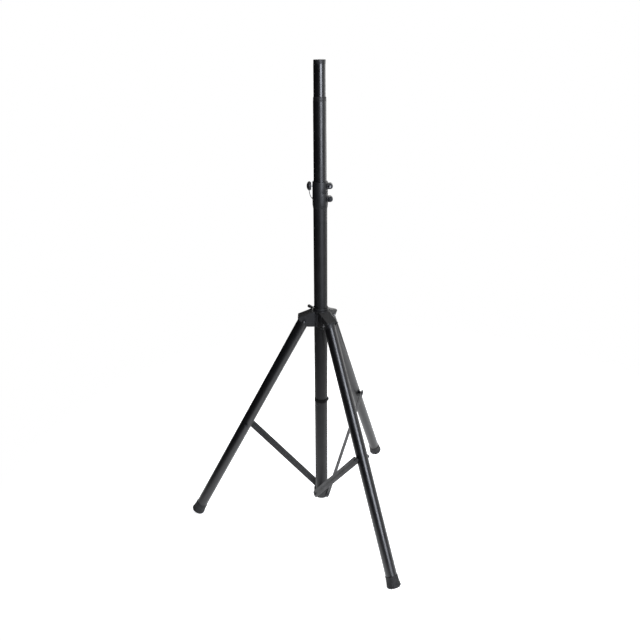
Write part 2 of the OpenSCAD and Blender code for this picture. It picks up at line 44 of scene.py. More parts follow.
# Fasteners and tubes
HEAD_R, HEAD_H = 4.8 * MM, 3 * MM        # heads of the pivot bolts
BOLT_R, NUT_H = 3 * MM, 5 * MM           # M6 bolts and nuts
HOLE_R = BOLT_R + 0.1 * MM
BOLT_END = 0.4 * MM                      # length of thread past a nut, before its chamfer
WASHER_R, WASHER_T = 8 * MM, 1 * MM
LEG_R = 18.01 * MM                       # just outside a leg's tube

# Camera: its height and distance from the tube's axis, its tilts in degrees, its lens in mm
CAMERA_PLACE = Vector((-0.00244, -2.04004, 1.5564))
CAMERA_DOWN = 22.143
CAMERA_ROLL = -0.307
CAMERA_LENS = 39.49

# Surroundings
SURROUND = 0.02                          # how brightly the pale surround lights the stand
FLOOR_GLOW = 0.7
DISC_MIDDLE = (0.3, 0.2, 0)
DISC_FADE = (0.8, 1.5)                   # radii where the floor starts and ends fading
COOL_WHITE = (0.86, 0.9, 1.0)

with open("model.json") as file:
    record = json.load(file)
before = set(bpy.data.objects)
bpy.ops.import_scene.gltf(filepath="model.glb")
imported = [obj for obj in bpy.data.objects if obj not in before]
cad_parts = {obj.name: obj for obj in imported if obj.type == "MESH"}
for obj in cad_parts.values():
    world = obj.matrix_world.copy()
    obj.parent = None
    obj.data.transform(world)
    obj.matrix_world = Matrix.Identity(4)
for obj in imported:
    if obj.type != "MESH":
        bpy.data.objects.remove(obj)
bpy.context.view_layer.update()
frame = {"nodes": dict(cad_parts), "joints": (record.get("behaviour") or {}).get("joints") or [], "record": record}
NODES = frame["nodes"]
JOINTS = {j["name"]: j for j in frame["joints"]}


# ---------------------------------------------------------------- places, from the frame


def joint_place(name):
    """The point and the unit axis of a hinge, in the row frame."""
    joint = JOINTS[name]
    return Vector(joint["pos_m"]), Vector(joint["axis"]).normalized()


def middle(node):
    low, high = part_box(node)
    return (low + high) / 2


def axis_frame(origin, z_axis, x_hint=Vector((0, 0, 1))):
    """A matrix whose Z runs along z_axis and whose X leans to x_hint."""
    z = Vector(z_axis).normalized()
    y = z.cross(x_hint).normalized()
    x = y.cross(z)
    return Matrix.Translation(origin) @ Matrix((x, y, z)).transposed().to_4x4()


def leg_frame(k):
    """At leg k's pivot: Z runs down the leg's axis, Y runs along the pivot."""
    pivot, side = joint_place(f"leg_{k}_fold")
    outward = side.cross(Vector((0, 0, 1)))
    low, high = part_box(f"leg_{k}_strut_bolt")
    down = (low + high) / 2 - pivot
    down -= side * down.dot(side)
    return axis_frame(pivot, down, outward)


# ---------------------------------------------------------------- shader helpers


class Shader:
    """Builds one node material from short calls."""

    def __init__(self, name):
        self.material = bpy.data.materials.new(name)
        self.material.use_nodes = True
        self.tree = self.material.node_tree
        self.body = self.tree.nodes["Principled BSDF"]
        self.coords = self.tree.nodes.new("ShaderNodeTexCoord").outputs["Object"]

    def link(self, source, target):
        if isinstance(source, (int, float)):
            target.default_value = source
        else:
            self.tree.links.new(source, target)

    def stretched(self, x, y, z):
        mapping = self.tree.nodes.new("ShaderNodeMapping")
        mapping.inputs["Scale"].default_value = (x, y, z)
        self.link(self.coords, mapping.inputs["Vector"])
        return mapping.outputs["Vector"]

    def noise(self, size, detail=3.0, rough=0.55, vector=None):
        """Noise whose features are about size across."""
        node = self.tree.nodes.new("ShaderNodeTexNoise")
        node.inputs["Scale"].default_value = 1 / size
        node.inputs["Detail"].default_value = detail
        node.inputs["Roughness"].default_value = rough
        self.link(vector or self.coords, node.inputs["Vector"])
        return node.outputs["Fac"]

    def cells(self, size):
        node = self.tree.nodes.new("ShaderNodeTexVoronoi")
        node.inputs["Scale"].default_value = 1 / size
        self.link(self.coords, node.inputs["Vector"])
        return node.outputs["Distance"]

    def ramp(self, source, low, high, out_low=0.0, out_high=1.0):
        """Maps source from low..high to out_low..out_high, clamped."""
        node = self.tree.nodes.new("ShaderNodeMapRange")
        self.link(source, node.inputs["Value"])
        for label, value in (("From Min", low), ("From Max", high),
                             ("To Min", out_low), ("To Max", out_high)):
            node.inputs[label].default_value = value
        return node.outputs["Result"]

    def math(self, operation, a, b=0.0):
        node = self.tree.nodes.new("ShaderNodeMath")
        node.operation = operation
        node.use_clamp = True
        self.link(a, node.inputs[0])
        self.link(b, node.inputs[1])
        return node.outputs[0]

    def mix(self, share, first, second):
        node = self.tree.nodes.new("ShaderNodeMix")
        node.data_type = "RGBA"
        self.link(share, node.inputs["Factor"])
        for colour, socket in ((first, node.inputs["A"]), (second, node.inputs["B"])):
            if isinstance(colour, tuple):
                socket.default_value = (*colour, 1)
            else:
                self.link(colour, socket)
        return node.outputs["Result"]

    def bump(self, height, depth, strength=1.0, below=None):
        node = self.tree.nodes.new("ShaderNodeBump")
        node.inputs["Distance"].default_value = depth
        node.inputs["Strength"].default_value = strength
        self.link(height, node.inputs["Height"])
        if below is not None:
            self.link(below, node.inputs["Normal"])
        return node.outputs["Normal"]

    def edges(self, radius):
        """1 on edges sharper than radius, 0 on open faces."""
        bevel = self.tree.nodes.new("ShaderNodeBevel")
        bevel.samples = 4
        bevel.inputs["Radius"].default_value = radius
        geometry = self.tree.nodes.new("ShaderNodeNewGeometry")
        dot = self.tree.nodes.new("ShaderNodeVectorMath")
        dot.operation = "DOT_PRODUCT"
        self.link(bevel.outputs["Normal"], dot.inputs[0])
        self.link(geometry.outputs["Normal"], dot.inputs[1])
        return self.ramp(dot.outputs["Value"], 0.97, 0.8)

    def height(self):
        split = self.tree.nodes.new("ShaderNodeSeparateXYZ")
        self.link(self.coords, split.inputs["Vector"])
        return split.outputs["Z"]

    def finish(self, colour, roughness, normal=None, metallic=0.0, **more):
        if isinstance(colour, tuple):
            colour = self.mix(0.0, colour, colour)
        self.link(colour, self.body.inputs["Base Color"])
        self.link(roughness, self.body.inputs["Roughness"])
        self.link(metallic, self.body.inputs["Metallic"])
        if normal is not None:
            self.link(normal, self.body.inputs["Normal"])
        for label, value in more.items():
            self.link(value, self.body.inputs[label.replace("_", " ")])
        return self.material


# ---------------------------------------------------------------- materials


def painted_steel(name, dark, light, rough, sheen, grain, grain_depth, wear=0.0, streaks=0.0):
    """Powder coat: cloudy colour, orange-peel bump, dust, rubbed edges and sliding marks."""
    s = Shader(name)
    cloud = s.noise(0.09, 4)
    colour = s.mix(s.ramp(cloud, 0.35, 0.7), dark, light)
    specks = s.ramp(s.noise(0.0012, 2), 0.68, 0.78)
    colour = s.mix(s.math("MULTIPLY", specks, 0.35), colour, (0.05, 0.05, 0.052))
    roughness = s.ramp(s.noise(0.03, 4), 0.3, 0.75, rough - 0.05, rough + 0.07)
    if streaks:
        drag = s.ramp(s.noise(0.004, 2, vector=s.stretched(1, 1, 0.02)), 0.55, 0.75)
        drag = s.math("MULTIPLY", drag, streaks)
        colour = s.mix(drag, colour, (0.03, 0.03, 0.032))
        roughness = s.math("ADD", roughness, s.math("MULTIPLY", drag, 0.12))
    if wear:
        patchy = s.ramp(s.noise(0.006, 5, 0.7), 0.47, 0.62)
        rubbed = s.math("MULTIPLY", s.math("MULTIPLY", s.edges(0.6 * MM), patchy), wear)
        colour = s.mix(rubbed, colour, (0.2, 0.2, 0.2))
    normal = s.bump(s.noise(grain, 2), grain_depth)
    return s.finish(colour, roughness, normal, Specular_IOR_Level=sheen)


def moulded_plastic(name, dark, light, rough, grain=0.7 * MM):
    """Spark-eroded plastic: fine cells, slight sheen change and lighter handled edges."""
    s = Shader(name)
    colour = s.mix(s.ramp(s.noise(0.02, 4), 0.35, 0.7), dark, light)
    handled = s.math("MULTIPLY", s.edges(0.8 * MM), s.ramp(s.noise(0.008, 4), 0.4, 0.65))
    colour = s.mix(s.math("MULTIPLY", handled, 0.25), colour, (0.12, 0.12, 0.12))
    roughness = s.ramp(s.noise(0.012, 4), 0.3, 0.7, rough - 0.06, rough + 0.08)
    normal = s.bump(s.cells(grain), 0.05 * MM, 0.8)
    normal = s.bump(s.noise(grain / 3, 2), 0.02 * MM, 0.6, normal)
    return s.finish(colour, roughness, normal, Specular_IOR_Level=0.42)


def rubber():
    s = Shader("rubber")
    dust = s.ramp(s.noise(0.006, 6, 0.7), 0.45, 0.75)
    near_floor = s.ramp(s.height(), 0.012, 0.0)
    dusty = s.math("MULTIPLY", dust, s.math("ADD", 0.12, s.math("MULTIPLY", near_floor, 0.5)))
    colour = s.mix(dusty, (0.006, 0.006, 0.0065), (0.045, 0.043, 0.04))
    roughness = s.ramp(s.noise(0.01, 3), 0.3, 0.7, 0.55, 0.75)
    normal = s.bump(s.noise(0.5 * MM, 3), 0.06 * MM)
    return s.finish(colour, roughness, normal, Specular_IOR_Level=0.3)


def zinc(name, tint, rough=0.32):
    """Zinc plate: crystal patches, turning marks and a warm or dark tint."""
    s = Shader(name)
    patch = s.cells(1.6 * MM)
    deep = tuple(0.62 * c for c in tint)
    colour = s.mix(s.ramp(patch, 0.1, 0.75), tint, deep)
    roughness = s.ramp(s.noise(0.003, 4), 0.3, 0.7, rough - 0.1, rough + 0.15)
    normal = s.bump(s.noise(0.3 * MM, 3), 0.015 * MM)
    return s.finish(colour, roughness, normal, metallic=1.0)


def nylon():
    s = Shader("white_nylon")
    colour = s.mix(s.ramp(s.noise(0.01, 4), 0.3, 0.7), (0.72, 0.71, 0.66), (0.58, 0.56, 0.5))
    normal = s.bump(s.noise(0.6 * MM, 3), 0.03 * MM)
    return s.finish(colour, 0.45, normal, Subsurface_Weight=0.1, Subsurface_Scale=0.004)


def braid():
    """Two crossing sets of strands round a thin cord."""
    s = Shader("cord")
    waves = []
    for turn in (1, -1):
        wave = s.tree.nodes.new("ShaderNodeTexWave")
        wave.inputs["Scale"].default_value = 240
        wave.inputs["Distortion"].default_value = 0.6
        s.link(s.stretched(turn, 1, 0.8), wave.inputs["Vector"])
        waves.append(wave.outputs["Fac"])
    weave = s.math("MULTIPLY", waves[0], waves[1])
    colour = s.mix(weave, (0.006, 0.006, 0.006), (0.045, 0.045, 0.046))
    return s.finish(colour, 0.8, s.bump(weave, 0.2 * MM), Sheen_Weight=0.4)


COAT_DARK, COAT_LIGHT = (0.0020, 0.0020, 0.0023), (0.0038, 0.0038, 0.0043)
MATERIALS = {
    "tube_paint": painted_steel(
        "tube_paint", COAT_DARK, COAT_LIGHT, 0.5, 0.36, 1.0 * MM, 0.02 * MM, 0.4),
    "leg_gloss": painted_steel(
        "leg_gloss", COAT_DARK, COAT_LIGHT, 0.33, 0.5, 1.2 * MM, 0.010 * MM, 0.4),
    "pole_paint": painted_steel(
        "pole_paint", COAT_DARK, COAT_LIGHT, 0.37, 0.5, 1.4 * MM, 0.008 * MM, 0.4, 0.4),
    "hub_paint": painted_steel(
        "hub_paint", (0.0035, 0.0035, 0.0039), (0.006, 0.006, 0.0066), 0.48, 0.45,
        1.1 * MM, 0.03 * MM, 0.6),
    "spigot_gloss": painted_steel(
        "spigot_gloss", COAT_DARK, COAT_LIGHT, 0.31, 0.62, 1.4 * MM, 0.008 * MM, 0.4),
    "strut_paint": painted_steel(
        "strut_paint", (0.0065, 0.0065, 0.0068), (0.011, 0.011, 0.0114), 0.48, 0.34,
        1.0 * MM, 0.02 * MM, 0.6),
    "band_paint": painted_steel(
        "band_paint", (0.0015, 0.0015, 0.0016), (0.0028, 0.0028, 0.003), 0.7, 0.12,
        1.0 * MM, 0.02 * MM, 0.3),
    "black_plastic": moulded_plastic(
        "black_plastic", (0.0040, 0.0040, 0.0044), (0.007, 0.007, 0.0076), 0.48),
    "white_nylon": nylon(),
    "rubber": rubber(),
    "zinc": zinc("zinc", (0.62, 0.62, 0.63)),
    "black_steel": zinc("black_steel", (0.06, 0.062, 0.068), 0.42),
    "worn_steel": zinc("worn_steel", (0.3, 0.3, 0.31), 0.4),
    "cord": braid(),
}


# ---------------------------------------------------------------- mesh helpers


def piece_from(mesh_builder, name, slot, body, *replaced, smooth_deg=35, look=None):
    """Makes one riding piece from a bmesh and lets it stand for CAD nodes; look varies its slot."""
    mesh = bpy.data.meshes.new(name)
    bmesh.ops.remove_doubles(mesh_builder, verts=mesh_builder.verts, dist=1e-7)
    bmesh.ops.recalc_face_normals(mesh_builder, faces=mesh_builder.faces)
    mesh_builder.to_mesh(mesh)
    mesh_builder.free()
    obj = bpy.data.objects.new(name, mesh)
    bpy.context.scene.collection.objects.link(obj)
    mesh.materials.append(MATERIALS[look or slot])
    mesh.shade_smooth()
    mesh.set_sharp_from_angle(angle=math.radians(smooth_deg))
    if body:
        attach(obj, body)
    if replaced:
        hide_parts(*replaced)
    return obj


def add_rings(bm, rings, matrix=Matrix.Identity(4), closed=True):
    """Skins a list of rings of points; closed caps both ends with a fan."""
    loops = [[bm.verts.new(matrix @ Vector(p)) for p in ring] for ring in rings]
    for low, high in zip(loops, loops[1:]):
        for i in range(len(low)):
            j = (i + 1) % len(low)
            bm.faces.new((low[i], low[j], high[j], high[i]))
    if closed:
        for loop, centre in ((loops[0], rings[0]), (loops[-1], rings[-1])):
            point = sum((Vector(p) for p in centre), Vector()) / len(centre)
            tip = bm.verts.new(matrix @ point)
            for i in range(len(loop)):
                bm.faces.new((loop[i], loop[(i + 1) % len(loop)], tip))
    return loops


def circle_points(radius, z, count=48, waves=0, depth=0.0):
    """Points of a circle at height z; waves and depth flute its radius."""
    points = []
    for i in range(count):
        a = 2 * math.pi * i / count
        r = radius + depth * math.cos(waves * a)
        points.append((r * math.cos(a), r * math.sin(a), z))
    return points


def polygon_points(sides, across_flats, z, count=48, corner_cut=1e9):
    """Points of a regular polygon, its corners turned down to radius corner_cut."""
    points = []
    for i in range(count):
        a = 2 * math.pi * i / count
        off = (a + math.pi / sides) % (2 * math.pi / sides) - math.pi / sides
        r = min(across_flats / 2 / math.cos(off), corner_cut)
        points.append((r * math.cos(a), r * math.sin(a), z))
    return points


def add_lathe(bm, profile, matrix=Matrix.Identity(4), count=48, closed=True):
    """Turns (radius, z) pairs round Z."""
    add_rings(bm, [circle_points(r, z, count) for r, z in profile], matrix, closed)


def add_socket_head(bm, matrix, radius, height, socket=4 * MM):
    """A domed screw head on Z = 0 with a hexagon socket in its crown."""
    rings = [circle_points(radius * 0.55, 0), circle_points(radius * 0.97, 0)]
    rings.append(circle_points(radius, 0.12 * height))
    for step in range(1, 8):
        a = math.radians(step * 10.5)
        dome_z = height * (0.12 + 0.88 * math.sin(a) / 0.96)
        rings.append(circle_points(radius * math.cos(a) ** 0.8, dome_z))
    rim = height * 0.98
    rings.append(polygon_points(6, socket * 1.12, rim))
    rings.append(polygon_points(6, socket, rim - 0.2 * MM))
    rings.append(polygon_points(6, socket, rim - 0.62 * height))
    rings.append(polygon_points(6, socket * 0.5, rim - 0.7 * height))
    add_rings(bm, rings, matrix)


def add_nut(bm, matrix, flats=10 * MM, height=5 * MM, hole=3 * MM):
    """A hexagon nut on Z = 0 with turned-down corners and a raised locking collar."""
    corner = flats / 2 / math.cos(math.pi / 6)
    body = 0.78 * height
    rings = [
        polygon_points(6, flats, 0, 72, corner * 0.93),
        polygon_points(6, flats, 0.09 * height, 72),
        polygon_points(6, flats, body - 0.12 * height, 72),
        polygon_points(6, flats, body, 72, corner * 0.93),
        circle_points(flats * 0.42, body + 0.02 * height, 72),
        circle_points(flats * 0.40, height * 0.95, 72),
        circle_points(flats * 0.37, height, 72),
        circle_points(hole * 1.12, height, 72),
        circle_points(hole * 1.02, height - 0.3 * MM, 72),
        circle_points(hole * 1.02, 0, 72),
    ]
    loops = add_rings(bm, rings, matrix, closed=False)
    for i in range(len(loops[0])):
        j = (i + 1) % len(loops[0])
        bm.faces.new((loops[-1][i], loops[-1][j], loops[0][j], loops[0][i]))


def add_thread(bm, matrix, radius, start, end, pitch=1 * MM):
    """A rod along Z whose surface rises and falls as a thread's ridges do."""
    steps = max(4, round((end - start) / pitch * 6))
    count = 32
    rings = [circle_points(radius * 0.8, start, count)]
    for i in range(steps + 1):
        z = start + (end - start) * i / steps
        ring = []
        for j in range(count):
            turn = j / count
            ridge = abs(((z / pitch - turn) % 1) - 0.5) * 2
            r = radius * (0.9 + 0.1 * ridge)
            a = 2 * math.pi * turn
            ring.append((r * math.cos(a), r * math.sin(a), z))
        rings.append(ring)
    rings.append(circle_points(radius * 0.78, end + 0.5 * MM, count))
    add_rings(bm, rings, matrix)


def add_rod(bm, matrix, radius, start, end):
    add_lathe(bm, [(radius, start), (radius, end)], matrix, 32)


# ---------------------------------------------------------------- CAD nodes that stay


def dress_nodes():
    """Gives each CAD node its slot's material, or the finish that its piece has within that slot."""
    slots = {s["node"]: s["material_slot"] for s in frame["record"]["subparts"]}
    finishes = {f"leg_{k}_tube": "leg_gloss" for k in LEGS}
    finishes.update(stop_band="band_paint", spigot="spigot_gloss")
    for name, node in NODES.items():
        node.data.materials.clear()
        node.data.materials.append(MATERIALS[finishes.get(name, slots[name])])


def round_edges(name, width, segments=3):
    """Welds the node's split vertices, then rounds its edges."""
    node = NODES[name]
    weld = node.modifiers.new("weld", "WELD")
    weld.merge_threshold = 1e-6
    bevel = node.modifiers.new("round", "BEVEL")
    bevel.width = width
    bevel.segments = segments
    bevel.limit_method = "ANGLE"
    bevel.angle_limit = math.radians(40)
    bevel.harden_normals = False


# ---------------------------------------------------------------- fasteners


def pivot_fasteners():
    """Bolts and nuts of the leg pivots, on the hub."""
    bolts, nuts = bmesh.new(), bmesh.new()
    for k in LEGS:
        pivot, side = joint_place(f"leg_{k}_fold")
        half = hood_half_width(k)
        head_at = axis_frame(pivot - side * half, -side)
        add_socket_head(bolts, head_at, HEAD_R, HEAD_H)
        add_rod(bolts, axis_frame(pivot, side), BOLT_R, -half, half)
        add_thread(bolts, axis_frame(pivot, side), BOLT_R, half, half + NUT_H + BOLT_END)
        add_nut(nuts, axis_frame(pivot + side * half, side))
    piece_from(bolts, "leg_pivot_bolts_looks", "black_steel", "hub_body", "leg_pivot_bolts",
               look="worn_steel")
    piece_from(nuts, "leg_pivot_nuts_looks", "black_steel", "hub_body", "leg_pivot_nuts")


def hood_half_width(k):
    """Distance from leg k's plane to the outside of its hood, read from the nut's inner face."""
    pivot, side = joint_place(f"leg_{k}_fold")
    near_pivot = 30 * MM
    return min((v.co - pivot).dot(side) for v in NODES["leg_pivot_nuts"].data.vertices
               if (v.co - pivot).length < near_pivot)


def strut_fasteners():
    """Bolts at both ends of each strut, with their nuts and washers."""
    low_bolts, washers = bmesh.new(), bmesh.new()
    edge, round_in, bolt_in = 0.15 * MM, 0.4 * MM, 9 * MM
    washer = [(HOLE_R, 0), (WASHER_R - round_in, 0), (WASHER_R, edge), (WASHER_R, WASHER_T - edge),
              (WASHER_R - round_in, WASHER_T), (HOLE_R, WASHER_T)]
    for k in LEGS:
        pivot, out = joint_place(f"strut_{k}_fold")
        face = strut_outer_face(k)
        centre = Vector((0, 0, pivot.z))
        add_lathe(washers, washer, axis_frame(centre + out * bracket_flat(), out), 48)
        add_socket_head(low_bolts, axis_frame(centre + out * face, out), HEAD_R, HEAD_H)
        add_rod(low_bolts, axis_frame(centre, out), BOLT_R, bolt_in, face)
        add_upper_bolt(k)
    piece_from(low_bolts, "strut_pivot_bolts_looks", "black_steel", "column", "strut_pivot_bolts")
    piece_from(washers, "strut_pivot_washers_looks", "black_steel", "column",
               "strut_pivot_washers")


def strut_outer_face(k):
    """Distance from the tube's axis to the inner side of strut k's lower bolt head."""
    out = joint_place(f"strut_{k}_fold")[1]
    reach = max(v.co.dot(out) for v in NODES["strut_pivot_bolts"].data.vertices)
    return reach - HEAD_H


def bracket_flat():
    """Distance from the tube's axis to the flats that the struts' washers lie on."""
    out = joint_place("strut_1_fold")[1]
    washer = [v.co.dot(out) for v in NODES["strut_pivot_washers"].data.vertices]
    return max(washer) - WASHER_T


def add_upper_bolt(k):
    """The bolt that ties strut k to its leg: head and eye on the strut, the rest on the leg."""
    side = joint_place(f"leg_{k}_fold")[1]
    head_middle = middle(f"strut_{k}_bolt_head")
    across = [v.co.dot(side) for v in NODES[f"strut_{k}_bolt_head"].data.vertices]
    outer, inner = min(across), max(across)
    centre = head_middle - side * head_middle.dot(side)
    head, shank, nut = bmesh.new(), bmesh.new(), bmesh.new()
    add_socket_head(head, axis_frame(centre + side * (outer + HEAD_H), -side), HEAD_R, HEAD_H)
    add_rod(head, axis_frame(centre, side), BOLT_R, outer + 0.95 * HEAD_H, inner)
    piece_from(head, f"strut_{k}_bolt_head_looks", "black_steel", f"strut_arm_{k}",
               f"strut_{k}_bolt_head")
    near = min(v.co.dot(side) for v in NODES[f"leg_{k}_strut_bolt"].data.vertices)
    nut_at = min(v.co.dot(side) for v in NODES[f"leg_{k}_strut_nut"].data.vertices)
    add_rod(shank, axis_frame(centre, side), BOLT_R, near, nut_at)
    add_thread(shank, axis_frame(centre, side), BOLT_R, nut_at, nut_at + NUT_H + BOLT_END)
    add_nut(nut, axis_frame(centre + side * nut_at, side))
    piece_from(shank, f"leg_{k}_strut_bolt_looks", "black_steel", f"leg_{k}",
               f"leg_{k}_strut_bolt")
    piece_from(nut, f"leg_{k}_strut_nut_looks", "black_steel", f"leg_{k}", f"leg_{k}_strut_nut")


def collar_fasteners():
    """The clamp bolts, their heads behind and their ends standing out of the nuts in front."""
    nuts = bmesh.new()
    cad_bolt_end = 1 * MM
    for node, slot in (("upper_clamp_bolt", "zinc"), ("lower_clamp_bolt", "black_steel")):
        low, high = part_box(node)
        centre = middle(node)
        ear = low.y + NUT_H + cad_bolt_end
        bolt = bmesh.new()
        back = Vector((centre.x, -ear, centre.z))
        head_h = high.y + ear
        add_socket_head(bolt, axis_frame(back, (0, 1, 0)), (high.z - low.z) / 2, head_h)
        front = axis_frame(Vector((centre.x, 0, centre.z)), (0, -1, 0))
        add_rod(bolt, front, BOLT_R, ear, -ear)
        add_thread(bolt, front, BOLT_R, -ear, -ear + NUT_H + BOLT_END)
        piece_from(bolt, node + "_looks", slot, "column", node)
        add_nut(nuts, axis_frame(Vector((centre.x, ear, centre.z)), (0, -1, 0)))
    piece_from(nuts, "clamp_nuts_looks", "black_steel", "column", "clamp_nuts")


def stop_screw():
    """The screw through the stop band, with a socket in its domed head."""
    low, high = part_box("stop_screw")
    centre = middle("stop_screw")
    head_h, thread_r = 3.8 * MM, 2.5 * MM
    base = high.x - head_h
    screw = bmesh.new()
    at = axis_frame(Vector((base, centre.y, centre.z)), (1, 0, 0))
    add_socket_head(screw, at, (high.z - low.z) / 2, head_h)
    add_thread(screw, axis_frame(Vector((0, centre.y, centre.z)), (1, 0, 0)), thread_r,
               low.x, base)
    piece_from(screw, "stop_screw_looks", "black_steel", "column", "stop_screw")


# ---------------------------------------------------------------- lower bracket


def lower_bracket():
    """The block under the tube: a flat for each strut, rounded corners and a hidden screw."""
    low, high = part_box("lower_bracket")
    out = joint_place("strut_1_fold")[1]
    tube_low, tube_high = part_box("main_tube")
    tube_r = (tube_high.x - tube_low.x) / 2
    flats, corner, edge, count = 2 * bracket_flat(), 26 * MM, 1.4 * MM, 96
    bottom = low.z + 8 * MM
    recess_r, recess_h = 6.8 * MM, 3 * MM
    rings = [circle_points(recess_r, bottom + recess_h, count),
             circle_points(recess_r, bottom, count)]
    for inset, z in ((edge, bottom), (0, bottom + edge), (0, high.z - edge), (edge, high.z)):
        rings.append(polygon_points(3, flats - 2 * inset, z, count, corner - inset))
    rings.append(circle_points(tube_r, high.z, count))
    rings.append(circle_points(tube_r, tube_low.z, count))
    at = axis_frame(Vector((0, 0, 0)), (0, 0, 1), out)
    block = bmesh.new()
    add_rings(block, rings, at)
    piece_from(block, "lower_bracket_looks", "hub_paint", "column", "lower_bracket", smooth_deg=20)
    screw = bmesh.new()
    head = [polygon_points(6, flat, bottom + z, 72)
            for flat, z in ((10 * MM, 0), (11 * MM, 0.5 * MM), (11 * MM, recess_h))]
    add_rings(screw, head, at)
    add_rod(screw, at, 4 * MM, bottom + recess_h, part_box("bracket_screw")[1].z)
    piece_from(screw, "bracket_screw_looks", "zinc", "column", "bracket_screw")


# ---------------------------------------------------------------- feet


def foot(k):
    """A ribbed rubber cap: a bead at its mouth, ribs round its flare, a grooved rounded sole."""
    at = leg_frame(k)
    along = [(at.inverted() @ v.co).z for v in NODES[f"leg_{k}_foot"].data.vertices]
    radial = [Vector((at.inverted() @ v.co).xy).length
              for v in NODES[f"leg_{k}_foot"].data.vertices]
    top, sole, sole_r = min(along), max(along), max(radial)
    mouth_r, edge = 19.2 * MM, 5.2 * MM
    length = sole - top
    count, ribs, rib_depth, rib_start = 144, 24, 0.45 * MM, 0.3
    rings = [circle_points(LEG_R, top + 0.6 * MM, count)]
    for r, z in ((mouth_r - 0.4 * MM, 0), (mouth_r + 0.45 * MM, 0.8 * MM),
                 (mouth_r + 0.5 * MM, 2.6 * MM), (mouth_r + 0.05 * MM, 3.6 * MM)):
        rings.append(circle_points(r, top + z, count))
    flare_steps = 12
    for i in range(flare_steps + 1):
        t = i / flare_steps
        z = 5 * MM + t * (length - edge - 5 * MM)
        r = mouth_r + (sole_r - mouth_r) * (0.35 * t + 0.65 * t * t)
        along_rib = min(1.0, max(0.0, (t - rib_start) / (1 - rib_start)))
        rib = rib_depth * max(0.0, math.sin(math.pi * along_rib)) ** 0.5
        rings.append(circle_points(r - rib, top + z, count, ribs, rib))
    for i in range(1, 9):
        a = math.radians(90 * i / 8)
        r = sole_r - edge * (1 - math.cos(a))
        rings.append(circle_points(r, sole - edge * (1 - math.sin(a)), count))
    inner = sole_r - edge
    for share in (0.88, 0.84, 0.76, 0.72):
        groove = 0.8 * MM if share in (0.84, 0.76) else 0.0
        rings.append(circle_points(inner * share, sole - groove, count))
    rings.append(circle_points(inner * 0.2, sole, count))
    bm = bmesh.new()
    add_rings(bm, rings, at)
    for vertex in bm.verts:
        vertex.co.z = max(vertex.co.z, 0.0)
    piece_from(bm, f"leg_{k}_foot_looks", "rubber", f"leg_{k}", f"leg_{k}_foot", smooth_deg=50)


# ---------------------------------------------------------------- knobs and pin


def remeshed(obj, voxel, smooth_steps):
    """Blends an object's overlapping lumps into one moulded surface."""
    remesh = obj.modifiers.new("blend", "REMESH")
    remesh.mode = "VOXEL"
    remesh.voxel_size = voxel
    smooth = obj.modifiers.new("soften", "SMOOTH")
    smooth.factor = 0.5
    smooth.iterations = smooth_steps
    bpy.context.view_layer.update()
    graph = bpy.context.evaluated_depsgraph_get()
    mesh = bpy.data.meshes.new_from_object(obj.evaluated_get(graph))
    obj.modifiers.clear()
    obj.data = mesh
    mesh.shade_smooth()


def t_knob(name, body, joint, tilt_deg, slot):
    """A moulded T handle: a fluted stem under a waisted bar."""
    origin, axis = joint_place(joint)
    reach = [v.co.dot(axis) for v in NODES[name].data.vertices]
    near, far = min(reach), max(reach)
    foot_point = origin + axis * (near - origin.dot(axis))
    depth = far - near
    at = axis_frame(foot_point, axis) @ Matrix.Rotation(math.radians(tilt_deg), 4, "Z")
    bm = bmesh.new()
    stem_r, taper, flute, bar_r, waist = 7.9 * MM, 2.6 * MM, 0.35 * MM, 6.4 * MM, 1.3 * MM
    stem = []
    for i in range(13):
        t = i / 12
        r = stem_r - taper * math.sin(math.pi * 0.5 * t)
        stem.append(circle_points(r, t * (depth - 6 * MM), 64, 12, flute * (1 - t)))
    add_rings(bm, stem, at)
    half = max(abs((at.inverted() @ v.co).x) for v in NODES[name].data.vertices) - 0.3 * MM
    bar = []
    steps, flatness = 36, 0.82
    for i in range(steps + 1):
        t = -1 + 2 * i / steps
        x = half * math.sin(t * math.pi / 2)
        end = math.sqrt(max(0.0, 1 - abs(x / half) ** 20))
        r = (bar_r - waist * math.cos(math.pi * x / half / 2) ** 2) * end + 0.15 * MM
        ring = []
        for j in range(40):
            a = 2 * math.pi * j / 40
            ring.append((x, r * math.cos(a) * flatness, depth - bar_r + r * math.sin(a)))
        bar.append(ring)
    add_rings(bm, bar, at)
    knob = piece_from(bm, name + "_looks", slot, body, name)
    remeshed(knob, 0.45 * MM, 4)
    knob.data.materials.clear()
    knob.data.materials.append(MATERIALS[slot])


def lock_pin_head():
    """A round moulded head with a fluted rim and a domed face."""
    low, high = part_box("lock_pin_head")
    centre = middle("lock_pin_head")
    at = axis_frame(Vector((high.x, centre.y, centre.z)), (-1, 0, 0))
    depth, radius = high.x - low.x, (high.z - low.z) / 2
    bm = bmesh.new()
    rings = [circle_points(5 * MM, 0, 96), circle_points(radius * 0.8, 0, 96)]
    for i in range(1, 15):
        t = i / 14
        r = radius * (0.8 + 0.2 * math.sin(math.pi * min(1, t * 2.2) / 2))
        r *= math.sqrt(max(0.02, 1 - max(0.0, (t - 0.3) / 0.72) ** 2.2))
        rings.append(circle_points(r, depth * t, 96, 16, 0.3 * MM * math.sin(math.pi * t)))
    add_rings(bm, rings, at)
    piece_from(bm, "lock_pin_head_looks", "black_plastic", "locking_pin", "lock_pin_head")


